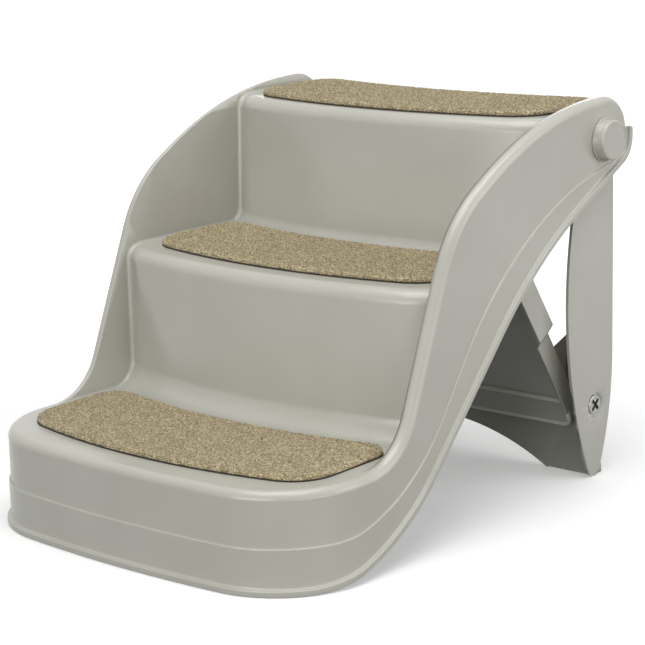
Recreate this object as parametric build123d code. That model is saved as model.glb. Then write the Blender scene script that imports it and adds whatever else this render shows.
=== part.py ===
from build123d import *
import os
from math import atan2, cos, degrees, hypot, radians, sin, sqrt, tan

# Folding pet stairs: a one-piece moulded flight of three treads with side
# rails, a hinged rear leg, a swinging brace tray and three carpet mats.
# Millimetres. While it is drawn, X is the climber's right, Y runs from the
# front lip (0) to the back and Z is up from the floor. At the end everything
# is moved along Y so that the origin is the middle of the footprint.

# Shell, overall
body_half_width = 200.0
wall = 3.5
rail_width = 11.5
front_bow_radius = 1250.0
front_corner_radius = 90.0
rim_outer_round = 8.0

# Treads and risers
tread_low_z = 91.0
tread_mid_z = 230.0
tread_top_z = 360.0
riser_mid_y = 178.0
riser_top_y = 343.5
riser_mid_lean = 1.0
riser_top_lean = 5.0
riser_bow_radius = 650.0
riser_corner_radius = 60.0
riser_half_width = 205.0
nosing_round = 13.0
seam_round = 3.0
riser_mid_cove = 24.0
riser_top_cove = 13.0

# Side rails, seen from the side
rim_foot_y = 150.0
rim_foot_radius = 60.0
rim_knee_y, rim_knee_z = 231.0, 290.0
rim_knee_radius = 130.0
rim_shoulder_y, rim_shoulder_z = 366.0, 368.0
rim_shoulder_radius = 380.0
rail_top_z = 373.0
rail_rear_y = 511.0
rail_end_radius = 36.0
rail_heel_radius = 28.0
toe_y = 129.0
toe_radius = 222.0
under_bend_y, under_bend_z = 351.5, 234.5
under_bend_radius = 450.0
under_rear_slope_deg = 26.4

# Where the treads' bowed fronts stand forward of the rails' rim
core_low_z = 75.0
core_step_y = 328.0
core_rear_y, core_rear_z = 440.0, 300.0
core_heel_y, core_heel_z = 380.0, 222.0
core_heel_length = 42.0
core_heel_height = 28.0

# Raised lower band and the flared bottom lip
band_step = 1.8
band_edge_round = 1.4
band_front_z = 42.0
band_toe_y = 152.0
band_toe_radius = 176.0
band_knee_y, band_knee_z = 326.5, 282.0
band_knee_radius = 364.0
band_rear_slope_deg = 10.0
lip_flare = 3.5
lip_height = 6.0
lip_edge_round = 1.4
lip_cove = 2.0
lip_skirt_height = 11.0
lip_end_z = 340.5
lip_end_round = 3.0

# Rear leg hinge
hinge_y, hinge_z = 468.0, 332.0
hinge_pin_radius = 7.0
running_clearance = 0.05
hinge_cap_radius = 19.0
hinge_cap_height = 9.5
hinge_cap_round = 2.0
hinge_flange_radius = 21.5
hinge_flange_thickness = 1.5
hinge_pin_inner_reach = 12.0
hinge_ring_radius = 12.0
hinge_ring_thickness = 3.0

# Rear leg
fin_thickness = 3.0
fin_side_gap = 0.75
fin_knuckle_radius = 23.0
fin_tip_radius = 11.0
fin_tip_y = 459.0
fin_tip_lift = 0.5
fin_front_radius = 423.0
fin_rear_tangent_z = 121.0
web_thickness = 4.0
web_foot_y = 458.5
web_bend_y, web_bend_z = 470.5, 60.0
web_top_y = 472.0
web_side_z = 150.0
web_middle_z = 105.0
web_corner_radius = 22.0
arch_half_width = 142.0
arch_height = 34.0
panel_proud = 2.0
panel_foot_half_width = 143.0
panel_top_half_width = 156.0
panel_top_z = 60.0
leg_rail_y, leg_rail_z = 470.0, 296.0
leg_rail_height = 24.0
leg_rail_depth = 14.0
leg_rail_wall = 3.0
foot_block_inner_x = 150.0
foot_block_front_y = 461.0
foot_block_depth = 14.0
foot_block_height = 9.0
foot_pad_height = 2.0
foot_pad_inset = 1.5

# Cross rod near the foot, its bolts and washers
rod_y, rod_z = 461.0, 72.0
rod_radius = 4.0
rod_boss_radius = 15.5
rod_boss_length = 11.0
rod_end_web = 2.0
bolt_head_radius = 10.0
bolt_head_height = 2.2
bolt_head_round = 1.2
bolt_recess_radius = 12.5
bolt_recess_depth = 3.2
bolt_shank_radius = 2.5
bolt_shank_length = 14.0
bolt_slot_width = 3.4
bolt_slot_length = 14.0
bolt_slot_depth = 1.5
washer_radius = 11.5
washer_thickness = 0.8

# Brace tray, in its own frame: s runs down from the pivot, n from rim to back
pivot_y, pivot_z = 354.5, 214.0
brace_slope_deg = 56.4
pivot_rod_radius = 4.0
tray_pivot_n = 10.0
tray_length = 192.0
tray_wall = 3.0
tray_floor_n = 11.5
tray_upper_depth = 25.5
tray_middle_depth = 20.5
tray_lower_depth = 18.5
tray_upper_half_width = 182.0
tray_lower_half_width = 176.0
tray_jog_s = 74.0
tray_jog_length = 8.0
tray_depth_step_round = 6.0
tray_barrel_radius = 8.0
tray_head_radius = 11.0
tray_corner_round = 12.0
tray_bottom_run = 19.0
saddle_clearance = 0.4

# Brace pivot ears under the middle tread
ear_thickness = 4.0
ear_radius = 10.5
ear_side_gap = 1.8
rod_cap_radius = 7.0
rod_cap_thickness = 2.0

# Ribs and rubber feet
rib_thickness = 3.0
rib_depth = 7.0
rib_pitch = 92.0
foot_x, foot_y = 146.0, 66.0
foot_radius = 10.0
foot_height = 4.0
foot_stem_radius = 4.0
foot_stem_length = 10.0
foot_boss_radius = 12.0

# Mats
mat_half_width = 175.0
mat_depth = 124.0
mat_thickness = 6.2
mat_bow_radius = 600.0
mat_front_corner = 42.0
mat_rear_corner = 22.0
mat_low_y = 29.5
mat_mid_y = 206.0
mat_top_y = 362.0

# Drawing aids
overrun = 60.0
merge = 1.0
full_turn = 360.0

hinge = (hinge_y, hinge_z)
rod = (rod_y, rod_z)
pivot = (pivot_y, pivot_z)
side_plane = Plane.YZ
skin_inner_x = body_half_width - wall
rail_inner_x = body_half_width - rail_width
fin_outer_x = skin_inner_x - fin_side_gap
fin_inner_x = fin_outer_x - fin_thickness


def bowed_face(front_y, half_width, corner, bow, rear_y, grow=0):
    """Plan outline with a bowed front, round front corners and a straight back."""
    bow_centre_y = front_y + bow
    reach = bow - corner
    corner_x = half_width - corner
    corner_y = bow_centre_y - sqrt(reach**2 - corner_x**2)
    unit_x, unit_y = corner_x / reach, (corner_y - bow_centre_y) / reach
    round_radius = corner + grow
    tangent_x = corner_x + round_radius * unit_x
    tangent_y = corner_y + round_radius * unit_y
    middle = atan2(unit_y, unit_x) / 2
    middle_x = corner_x + round_radius * cos(middle)
    middle_y = corner_y + round_radius * sin(middle)
    side_x, back_y = half_width + grow, rear_y + grow
    edges = [
        Edge.make_three_point_arc((-tangent_x, tangent_y), (0, front_y - grow), (tangent_x, tangent_y)),
        Edge.make_three_point_arc((tangent_x, tangent_y), (middle_x, middle_y), (side_x, corner_y)),
        Edge.make_line((side_x, corner_y), (side_x, back_y)),
        Edge.make_line((side_x, back_y), (-side_x, back_y)),
        Edge.make_line((-side_x, back_y), (-side_x, corner_y)),
        Edge.make_three_point_arc((-side_x, corner_y), (-middle_x, middle_y), (-tangent_x, tangent_y)),
    ]
    return Face(Wire(edges))


def raised(face, low_z, high_z, run_y=0):
    """A plan face made solid between two heights, leaning back by run_y."""
    height = high_z - low_z
    length = hypot(height, run_y)
    return extrude(Pos(0, 0, low_z) * face, amount=length, dir=(0, run_y / length, height / length))


def across(face, half_width):
    """A side-view face made solid to both sides of the middle plane."""
    return extrude(side_plane * face, amount=half_width, both=True)


def slab(face, low_x, high_x):
    """A side-view face made solid between two distances from the middle plane."""
    return extrude(side_plane.offset(low_x) * face, amount=high_x - low_x)


def both_sides(solid):
    """The solid and its mirror image."""
    return Part() + [solid, mirror(solid, about=Plane.YZ)]


def cylinder_x(centre, radius, low_x, high_x):
    """A round bar along X between two distances from the middle plane."""
    return slab(Pos(*centre) * Circle(radius), low_x, high_x)


def block(low_x, high_x, low_y, high_y, low_z, high_z):
    """A plain box between its limits."""
    size = (high_x - low_x, high_y - low_y, high_z - low_z)
    middle = ((high_x + low_x) / 2, (high_y + low_y) / 2, (high_z + low_z) / 2)
    return Pos(*middle) * Box(*size)


def closed_outline(corners):
    """A side-view face from corners given as y, z and radius."""
    points = [(y, z) for y, z, radius in corners]
    radii = [radius for y, z, radius in corners]
    return make_face(FilletPolyline(*points, radius=radii, close=True))


def rail_top_corners():
    """The rail's rim, from the front to the rear end."""
    return [
        (-overrun, tread_low_z, 0),
        (rim_foot_y, tread_low_z, rim_foot_radius),
        (rim_knee_y, rim_knee_z, rim_knee_radius),
        (rim_shoulder_y, rim_shoulder_z, rim_shoulder_radius),
        (rail_rear_y, rail_top_z, rail_end_radius),
    ]


def rail_face():
    """The rail's whole side view."""
    rear_rise = (rail_rear_y - under_bend_y) * tan(radians(under_rear_slope_deg))
    return closed_outline(
        rail_top_corners()
        + [
            (rail_rear_y, under_bend_z + rear_rise, rail_heel_radius),
            (under_bend_y, under_bend_z, under_bend_radius),
            (toe_y, 0, toe_radius),
            (-overrun, 0, 0),
        ]
    )


def open_rail_face():
    """The rail's side view with its underside carried down past the floor."""
    return closed_outline(rail_top_corners() + [(rail_rear_y, -overrun, 0), (-overrun, -overrun, 0)])


def core_face():
    """Side view of the stepped body between the rails."""
    front_y = riser_mid_y - nosing_round
    return make_face(
        Polyline(
            (front_y, core_low_z),
            (front_y, tread_mid_z),
            (core_step_y, tread_mid_z),
            (core_step_y, tread_top_z),
            (core_rear_y, tread_top_z),
            (core_rear_y, core_rear_z),
            (core_heel_y, core_heel_z),
            close=True,
        )
    )


def tread_core():
    """The stepped body, with the middle tread's rear corners carried out to the rails."""
    reach = rail_inner_x + wall
    heel = block(-reach, reach, core_heel_y - core_heel_length, core_heel_y, core_heel_z, core_heel_z + core_heel_height)
    return across(core_face(), rail_inner_x) + heel


def below_band_face():
    """Everything below the line where the lower band begins."""
    rear_y = rail_rear_y + overrun
    rear_z = band_knee_z + (rear_y - band_knee_y) * tan(radians(band_rear_slope_deg))
    return closed_outline(
        [
            (-overrun, band_front_z, 0),
            (band_toe_y, band_front_z, band_toe_radius),
            (band_knee_y, band_knee_z, band_knee_radius),
            (rear_y, rear_z, 0),
            (rear_y, -overrun, 0),
            (-overrun, -overrun, 0),
        ]
    )


def edges_near(solid, test):
    """The solid's edges whose middle passes a test."""
    return ShapeList([edge for edge in solid.edges() if test(edge @ 0.5)])


def flight_space(grow=0):
    """The air over the treads and between the rails, or that air grown by a wall."""
    half_width = rail_inner_x + grow
    steps = [
        (tread_low_z, tread_mid_z, riser_mid_y, riser_mid_lean, riser_mid_cove),
        (tread_mid_z, tread_top_z, riser_top_y, riser_top_lean, riser_top_cove),
    ]
    space = block(-half_width, half_width, -overrun, rail_rear_y + overrun, tread_low_z - grow, rail_top_z + overrun)
    far_y = rail_rear_y + 2 * overrun
    for low_z, high_z, riser_y, lean, cove in steps:
        riser = bowed_face(riser_y, riser_half_width, riser_corner_radius, riser_bow_radius, far_y, -grow)
        space -= raised(riser, low_z - grow - merge, high_z - grow, lean)
    space = space.solid()
    for low_z, high_z, riser_y, lean, cove in steps:
        top_edges = edges_near(space, lambda p: abs(p.Z - high_z + grow) < merge / 2 and abs(p.X) < half_width / 2
                               and p.Y < riser_y + lean + 2 * nosing_round)
        space = fillet(top_edges, nosing_round - grow).solid()
        foot_edges = edges_near(space, lambda p: abs(p.Z - low_z + grow) < merge / 2 and abs(p.X) < half_width / 2
                                and abs(p.Y - riser_y) < 2 * nosing_round)
        space = fillet(foot_edges, cove + grow).solid()
    seams = edges_near(space, lambda p: abs(abs(p.X) - half_width) < merge / 2 and p.Z < tread_top_z + merge
                       and -overrun + merge < p.Y < rail_rear_y + overrun - merge)
    return fillet(seams, seam_round).solid()


def moulding_block(grow, side_face, edge_round):
    """The flight's outer form before it is cut, with its rim rounded."""
    plan = bowed_face(0, body_half_width, front_corner_radius, front_bow_radius, rail_rear_y + overrun, grow)
    form = raised(plan, -2 * overrun, rail_top_z + overrun) & across(side_face, body_half_width + overrun)
    form = form.solid()
    low = tread_low_z - overrun / 2
    rim = edges_near(form, lambda p: p.Z > low and (abs(abs(p.X) - body_half_width - grow) < merge
                                                   or p.Y < front_corner_radius))
    return fillet(rim, edge_round).solid()


def banded(grow, side_face):
    """A skin that stands out from the body by grow, over one part of its side view."""
    outer = bowed_face(0, body_half_width, front_corner_radius, front_bow_radius, rail_rear_y + overrun, grow)
    inner = bowed_face(0, body_half_width, front_corner_radius, front_bow_radius, rail_rear_y + 2 * overrun, -wall / 2)
    skin = raised(outer, -overrun, rail_top_z) - raised(inner, -2 * overrun, rail_top_z + overrun)
    return skin & across(side_face, body_half_width + overrun)


def lower_strip(height):
    """The strip of the rail along its lower edge and up round its rear end."""
    rear = Pos(rail_rear_y, lip_end_z - overrun) * Rectangle(overrun, 2 * overrun)
    strip = (rail_face() - offset(rail_face(), amount=-height)) & (below_band_face() + rear)
    end = strip.vertices().filter_by(lambda v: v.X > rail_rear_y - merge and v.Y > lip_end_z - merge)
    return fillet(end, lip_end_round)


def outside(grow):
    """A test for points outside the plan outline when it is grown by an amount."""
    plan = bowed_face(0, body_half_width, front_corner_radius, front_bow_radius, rail_rear_y + 2 * overrun, grow)
    return lambda p: not plan.is_inside(Vector(p.X, p.Y, 0))


def within(face):
    """A test for points that lie inside a side-view face."""
    return lambda p: any(part.is_inside(Vector(p.Y, p.Z, 0)) for part in face.faces())


def raised_band():
    """The band that stands out along the rails' lower edge, with a soft upper edge."""
    band = banded(band_step, rail_face() & below_band_face())
    slack = band_step / 10
    on_skin = outside(band_step - slack)
    inner_part = within(offset(below_band_face(), amount=-slack))
    upper_edge = edges_near(band, lambda p: on_skin(p) and not inner_part(p))
    return fillet(upper_edge, band_edge_round)


def flared_lip():
    """The flared lip with its rounded edges, and the cove that runs from it into the band."""
    slack = band_step / 10
    lip = banded(band_step + lip_flare, lower_strip(lip_height))
    lip = fillet(edges_near(lip, outside(band_step + lip_flare - slack)), lip_edge_round)
    lip += banded(band_step, lower_strip(lip_skirt_height))
    beyond, over = outside(band_step - slack), outside(band_step + slack)
    above = within(offset(rail_face(), amount=slack - lip_height))
    far_above = within(offset(rail_face(), amount=-slack - lip_height))
    root = edges_near(lip, lambda p: beyond(p) and not over(p) and above(p) and not far_above(p))
    return fillet(root, lip_cove)


def pivot_ears():
    """Two lugs under the middle tread that carry the brace."""
    root = Pos(pivot_y, (pivot_z + tread_mid_z - merge) / 2)
    lug = Pos(pivot_y, pivot_z) * Circle(ear_radius) + root * Rectangle(2 * ear_radius, tread_mid_z - merge - pivot_z)
    low_x = tray_upper_half_width + ear_side_gap
    return both_sides(slab(lug, low_x, low_x + ear_thickness))


def tread_ribs():
    """Stiffening ribs under each tread, running from riser to riser."""
    spans = [
        (wall, riser_mid_y + wall, tread_low_z),
        (riser_mid_y, pivot_y - tray_head_radius - 2 * wall, tread_mid_z),
        (riser_top_y + riser_top_lean, rail_rear_y - wall, tread_top_z),
    ]
    ribs = Part()
    for start_y, end_y, tread_z in spans:
        for place in (-1, 0, 1):
            x = place * rib_pitch
            ribs += block(x - rib_thickness / 2, x + rib_thickness / 2, start_y, end_y,
                          tread_z - wall - rib_depth, tread_z - merge)
    return ribs


def foot_bosses():
    """Hollow posts inside the front corners that hold the rubber feet."""
    post = Pos(foot_x, foot_y, foot_height) * extrude(Circle(foot_boss_radius), tread_low_z - merge - foot_height)
    bore = Pos(foot_x, foot_y, 0) * extrude(Circle(foot_stem_radius), foot_height + foot_stem_length)
    return both_sides(post - bore)


def stair_shell():
    """The one-piece moulding: treads, risers, hollow rails, band, lip and ears."""
    core = tread_core()
    form = moulding_block(0, rail_face(), rim_outer_round) + core
    form -= flight_space()
    form += raised_band()
    form += flared_lip()
    hollow = moulding_block(-wall, offset(open_rail_face(), amount=-wall), rim_outer_round - wall)
    form -= (hollow + core) - flight_space(wall) - tread_ribs() - foot_bosses()
    form += pivot_ears()
    bore = hinge_pin_radius + running_clearance
    form -= cylinder_x(hinge, bore, -body_half_width - overrun, body_half_width + overrun)
    ear_bore = pivot_rod_radius + running_clearance
    form -= cylinder_x(pivot, ear_bore, -skin_inner_x, skin_inner_x)
    return form


def mat(front_y, tread_z):
    """One carpet mat: bowed front and back edges and round corners."""
    outline = bowed_face(0, mat_half_width, mat_front_corner, mat_bow_radius, mat_depth + overrun)
    behind = bowed_face(mat_depth, riser_half_width, riser_corner_radius, riser_bow_radius, mat_depth + 2 * overrun)
    pad = raised(outline, 0, mat_thickness) - raised(behind, -merge, mat_thickness + merge)
    rear_corners = pad.edges().filter_by(Axis.Z).sort_by(Axis.Y)[-2:]
    return Pos(0, front_y, tread_z) * fillet(rear_corners, mat_rear_corner)


def circles_meet(first, first_radius, second, second_radius):
    """The left one of the two points at given distances from two centres."""
    gap_y, gap_z = second[0] - first[0], second[1] - first[1]
    gap = hypot(gap_y, gap_z)
    along = (gap**2 + first_radius**2 - second_radius**2) / (2 * gap)
    aside = sqrt(first_radius**2 - along**2)
    unit_y, unit_z = gap_y / gap, gap_z / gap
    return (first[0] + unit_y * along - unit_z * aside, first[1] + unit_z * along + unit_y * aside)


def point_on(centre, radius, angle):
    """The point of a circle in a direction given in radians."""
    return (centre[0] + radius * cos(angle), centre[1] + radius * sin(angle))


def direction(start, end):
    """The direction from one point to another, in radians."""
    return atan2(end[1] - start[1], end[0] - start[0])


def arc_about(centre, radius, start_angle, end_angle):
    """An arc by its centre, radius and end directions."""
    middle_angle = (start_angle + end_angle) / 2
    points = [point_on(centre, radius, angle) for angle in (start_angle, middle_angle, end_angle)]
    return Edge.make_three_point_arc(*[(y, z, 0) for y, z in points])


def fin_face():
    """Side view of one leg fin: round knuckle, bulged front, straight back, round toe."""
    toe = (fin_tip_y, fin_tip_lift + fin_tip_radius)
    rear_y = hinge_y + fin_knuckle_radius
    drop, reach = fin_rear_tangent_z - toe[1], rear_y - toe[0]
    rear_radius = (reach**2 + drop**2 - fin_tip_radius**2) / (2 * (reach - fin_tip_radius))
    rear_centre = (rear_y - rear_radius, fin_rear_tangent_z)
    front_centre = circles_meet(hinge, fin_front_radius - fin_knuckle_radius, toe, fin_front_radius - fin_tip_radius)
    front_high = direction(front_centre, hinge) % radians(full_turn)
    front_low = direction(front_centre, toe) % radians(full_turn)
    rear_low = direction(rear_centre, toe)
    return make_face(
        [
            arc_about(hinge, fin_knuckle_radius, 0, front_high),
            arc_about(front_centre, fin_front_radius, front_high, front_low),
            arc_about(toe, fin_tip_radius, front_low, rear_low + radians(full_turn)),
            arc_about(rear_centre, rear_radius, rear_low, 0),
            Edge.make_line((rear_y, fin_rear_tangent_z), (rear_y, hinge_z)),
        ]
    )


def web_face(proud=0):
    """Side view of the cross panel, bent at the crease; proud brings its front forward."""
    lift = (fin_tip_lift - web_bend_z) / web_bend_z * (web_bend_y - web_foot_y) + web_bend_y
    front = [(lift - proud, fin_tip_lift), (web_bend_y - proud, web_bend_z), (web_top_y - proud, web_side_z)]
    depth = web_thickness + proud
    back = [(y + depth, z) for y, z in reversed(front)]
    return make_face(Polyline(*front, *back, close=True))


def front_view(face):
    """A front-view face made solid along the whole leg's depth."""
    plane = Plane(origin=(0, rail_rear_y, 0), x_dir=(1, 0, 0), z_dir=(0, -1, 0))
    return extrude(plane * face, amount=2 * overrun)


def web_panel():
    """The cross panel with its dipped top, arched foot and proud middle field."""
    top_reach = fin_inner_x - web_corner_radius - merge
    window_corners = [
        (-fin_inner_x, web_side_z + overrun),
        (-top_reach, web_side_z - merge),
        (-top_reach + web_side_z - web_middle_z, web_middle_z),
        (top_reach - web_side_z + web_middle_z, web_middle_z),
        (top_reach, web_side_z - merge),
        (fin_inner_x, web_side_z + overrun),
    ]
    rounds = [0, web_corner_radius / 2, web_corner_radius, web_corner_radius, web_corner_radius / 2, 0]
    window = make_face(FilletPolyline(*window_corners, radius=rounds, close=True))
    arch_radius = (arch_half_width**2 + arch_height**2) / (2 * arch_height)
    arch = Pos(0, arch_height - arch_radius) * Circle(arch_radius)
    field_corners = [
        (-panel_foot_half_width, -overrun),
        (-panel_foot_half_width, 0),
        (-panel_top_half_width, panel_top_z),
        (-panel_top_half_width, web_side_z),
        (panel_top_half_width, web_side_z),
        (panel_top_half_width, panel_top_z),
        (panel_foot_half_width, 0),
        (panel_foot_half_width, -overrun),
    ]
    field = make_face(Polyline(*field_corners, close=True))
    reach = fin_inner_x + fin_thickness / 2
    panel = across(web_face(), reach) + (across(web_face(panel_proud), reach) & front_view(field))
    return panel - front_view(window) - front_view(arch)


def foot_blocks():
    """Blocks behind the panel's feet that the rubber pads are fixed under."""
    rear_y = foot_block_front_y + foot_block_depth
    return both_sides(block(foot_block_inner_x, fin_inner_x + merge, foot_block_front_y, rear_y,
                            fin_tip_lift, foot_block_height))


def foot_pads():
    """Rubber pads under the leg's two feet."""
    low_y, high_y = foot_block_front_y + foot_pad_inset, foot_block_front_y + foot_block_depth - foot_pad_inset
    return both_sides(block(foot_block_inner_x + foot_pad_inset, fin_inner_x - foot_pad_inset, low_y, high_y,
                            0, foot_pad_height))


def leg_rail():
    """The channel-shaped rail that ties the fins together below the hinge."""
    reach = fin_inner_x + fin_thickness / 2
    low_y, high_y = leg_rail_y - leg_rail_depth / 2, leg_rail_y + leg_rail_depth / 2
    low_z, high_z = leg_rail_z - leg_rail_height / 2, leg_rail_z + leg_rail_height / 2
    rail = block(-reach, reach, low_y, high_y, low_z, high_z)
    return rail - block(-reach, reach, low_y - merge, high_y - leg_rail_wall, low_z + leg_rail_wall,
                        high_z - leg_rail_wall)


def rear_leg():
    """The moulded leg: two fins, the cross panel, the upper rail and the rod bosses."""
    fins = both_sides(slab(fin_face(), fin_inner_x, fin_outer_x))
    boss_inner_x = fin_inner_x - rod_boss_length
    bosses = both_sides(cylinder_x(rod, rod_boss_radius, boss_inner_x, fin_inner_x + merge))
    leg = fins + bosses + web_panel() + foot_blocks() + leg_rail()
    recess_x = fin_outer_x - bolt_recess_depth
    leg -= both_sides(cylinder_x(rod, bolt_recess_radius, recess_x, body_half_width))
    leg -= cylinder_x(rod, rod_radius + running_clearance, -recess_x + rod_end_web, recess_x - rod_end_web)
    leg -= cylinder_x(rod, bolt_shank_radius + running_clearance, -fin_outer_x, fin_outer_x)
    leg -= foot_pads()
    return leg - cylinder_x(hinge, hinge_pin_radius + running_clearance, -fin_outer_x - merge, fin_outer_x + merge)


def cross_rod():
    """The steel rod that ties the fins near the foot, with tapped ends."""
    half_length = fin_outer_x - bolt_recess_depth - rod_end_web
    bore_depth = bolt_shank_length
    bar = cylinder_x(rod, rod_radius, -half_length, half_length)
    bore = cylinder_x(rod, bolt_shank_radius, half_length - bore_depth, half_length + merge)
    return bar - both_sides(bore)


def rod_bolts():
    """Cross-slotted bolts screwed into the rod's ends."""
    seat_x = fin_outer_x - bolt_recess_depth + washer_thickness
    head_x = seat_x + bolt_head_height
    head = cylinder_x(rod, bolt_head_radius, seat_x, head_x)
    head = fillet(head.edges().group_by(Axis.X)[-1], bolt_head_round)
    slots = Rectangle(bolt_slot_length, bolt_slot_width) + Rectangle(bolt_slot_width, bolt_slot_length)
    slots = Pos(*rod) * Rot(0, 0, 45) * slots
    head -= slab(slots, head_x - bolt_slot_depth, head_x + merge)
    return both_sides(head + cylinder_x(rod, bolt_shank_radius, seat_x - bolt_shank_length, seat_x + merge / 2))


def bolt_washers():
    """Flat washers under the bolt heads."""
    seat_x = fin_outer_x - bolt_recess_depth
    ring = Circle(washer_radius) - Circle(bolt_shank_radius + running_clearance)
    return both_sides(slab(Pos(*rod) * ring, seat_x, seat_x + washer_thickness))


def hinge_pin(side):
    """One hinge pin: a capped head outside the rail and a shank through leg and rail."""
    flange_x = body_half_width + hinge_flange_thickness
    cap = cylinder_x(hinge, hinge_cap_radius, flange_x - merge, flange_x + hinge_cap_height)
    cap = fillet(cap.edges().group_by(Axis.X)[-1], hinge_cap_round)
    pin = cap + cylinder_x(hinge, hinge_flange_radius, body_half_width, flange_x)
    pin += cylinder_x(hinge, hinge_pin_radius, body_half_width - hinge_pin_inner_reach, body_half_width + merge / 2)
    return pin if side > 0 else mirror(pin, about=Plane.YZ)


def hinge_rings():
    """Push-on rings that keep the hinge pins in."""
    ring = Circle(hinge_ring_radius) - Circle(hinge_pin_radius)
    outer_x = fin_inner_x - fin_side_gap
    return both_sides(slab(Pos(*hinge) * ring, outer_x - hinge_ring_thickness, outer_x))


def tray_planes():
    """The tray's side-view plane and its plan plane, both from the pivot's foot on the rim."""
    down = (0, cos(radians(brace_slope_deg)), -sin(radians(brace_slope_deg)))
    back = (0, sin(radians(brace_slope_deg)), cos(radians(brace_slope_deg)))
    start = (0, pivot_y - tray_pivot_n * back[1], pivot_z - tray_pivot_n * back[2])
    side = Plane(origin=start, x_dir=down, z_dir=(1, 0, 0))
    plan = Plane(origin=start, x_dir=down, z_dir=back)
    return side, plan


def tray_plan_face(inset):
    """The tray's outline in its own plan, with the jog and the rounded lower corners."""
    top_s = -tray_head_radius - inset
    upper, lower = tray_upper_half_width - inset, tray_lower_half_width - inset
    low_s, jog_end = tray_length - inset, tray_jog_s + tray_jog_length
    side = [(tray_jog_s, upper), (jog_end, lower), (low_s, lower)]
    points = [(top_s, upper)] + side + [(s, -x) for s, x in reversed(side)] + [(top_s, -upper)]
    corner = tray_corner_round - inset
    jog = tray_jog_length / 2
    return make_face(FilletPolyline(*points, radius=[0, jog, jog, corner, corner, jog, jog, 0], close=True))


def tray_side_face():
    """The flanges' side view: round head at the pivot, stepped back edge, round heel."""
    jog_end = tray_jog_s + tray_jog_length
    points = [
        (0, 0, 0),
        (tray_length, 0, 0),
        (tray_length, tray_lower_depth, tray_corner_round),
        (jog_end, tray_middle_depth, tray_depth_step_round),
        (tray_jog_s, tray_upper_depth, tray_depth_step_round),
        (0, tray_upper_depth, tray_corner_round / 2),
    ]
    head = Pos(0, tray_pivot_n) * Circle(tray_head_radius)
    return closed_outline(points) + head


def brace_tray():
    """The brace: a shallow tray with side flanges, a floor, a slanted foot and a pivot barrel."""
    side, plan = tray_planes()
    span = 2 * tray_upper_half_width
    floor_back = tray_floor_n + tray_wall
    floor_end = tray_length - tray_bottom_run
    slant_gap = tray_wall * hypot(tray_bottom_run, floor_back) / floor_back
    outer = extrude(plan * tray_plan_face(0), amount=overrun, both=True)
    inner = extrude(plan * tray_plan_face(tray_wall), amount=overrun, both=True)
    front = [
        (-overrun, tray_floor_n),
        (floor_end - slant_gap + tray_bottom_run * tray_wall / floor_back, tray_floor_n),
        (tray_length - slant_gap + tray_bottom_run * merge / floor_back, -merge),
        (-overrun, -merge),
    ]
    back = [
        (-overrun, floor_back),
        (floor_end, floor_back),
        (tray_length, 0),
        (tray_length + overrun, 0),
        (tray_length + overrun, overrun),
        (-overrun, overrun),
    ]
    pockets = Part()
    for corners in (front, back):
        pockets += extrude(side * make_face(Polyline(*corners, close=True)), amount=span, both=True)
    body = outer & extrude(side * tray_side_face(), amount=span, both=True)
    body -= inner & pockets
    body -= block(-span, span, pivot_y - tray_head_radius * 2, pivot_y + overrun, pivot_z + merge, tread_mid_z) & inner
    half_barrel = tray_upper_half_width - tray_wall / 2
    body += cylinder_x(pivot, tray_barrel_radius, -half_barrel, half_barrel)
    body -= cylinder_x(rod, rod_radius + saddle_clearance, -span, span)
    return body - cylinder_x(pivot, pivot_rod_radius + running_clearance, -span, span)


def ear_outer_x():
    """The outer face of the pivot ears."""
    return tray_upper_half_width + ear_side_gap + ear_thickness


def pivot_rod():
    """The rod the brace turns on."""
    half_length = ear_outer_x() + rod_cap_thickness / 2
    return cylinder_x(pivot, pivot_rod_radius, -half_length, half_length)


def rod_caps():
    """Push-on caps at the ends of the pivot rod."""
    cap = cylinder_x(pivot, rod_cap_radius, ear_outer_x(), ear_outer_x() + rod_cap_thickness)
    return both_sides(cap - cylinder_x(pivot, pivot_rod_radius, 0, ear_outer_x() + rod_cap_thickness / 2))


def rubber_feet():
    """Rubber feet pushed into the posts under the low tread."""
    pad = Pos(foot_x, foot_y, 0) * extrude(Circle(foot_radius), foot_height)
    stem = Pos(foot_x, foot_y, 0) * extrude(Circle(foot_stem_radius), foot_height + foot_stem_length)
    return both_sides(pad + stem)


def all_nodes():
    """Every piece of the object by its node name."""
    return {
        "stair_shell": stair_shell(),
        "tread_mat_bottom": mat(mat_low_y, tread_low_z),
        "tread_mat_middle": mat(mat_mid_y, tread_mid_z),
        "tread_mat_top": mat(mat_top_y, tread_top_z),
        "hinge_pin_right": hinge_pin(1),
        "hinge_pin_left": hinge_pin(-1),
        "hinge_rings": hinge_rings(),
        "brace_pivot_rod": pivot_rod(),
        "pivot_rod_caps": rod_caps(),
        "base_feet": rubber_feet(),
        "rear_leg": rear_leg(),
        "leg_cross_rod": cross_rod(),
        "rod_bolts": rod_bolts(),
        "bolt_washers": bolt_washers(),
        "leg_foot_pads": foot_pads(),
        "brace_tray": brace_tray(),
    }


os.makedirs("parts", exist_ok=True)
nodes = all_nodes()
boxes = [node.bounding_box() for node in nodes.values()]
middle_y = (min(box.min.Y for box in boxes) + max(box.max.Y for box in boxes)) / 2
for name, node in nodes.items():
    export_step(Pos(0, -middle_y, 0) * node, f"parts/{name}.step")
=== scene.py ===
from math import cos, hypot, pi, radians, sin

import bmesh
import bpy
from bpy.props import FloatProperty, FloatVectorProperty, IntProperty, PointerProperty
from bpy.types import Operator, Panel, PropertyGroup
from mathutils import Matrix, Vector


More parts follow.
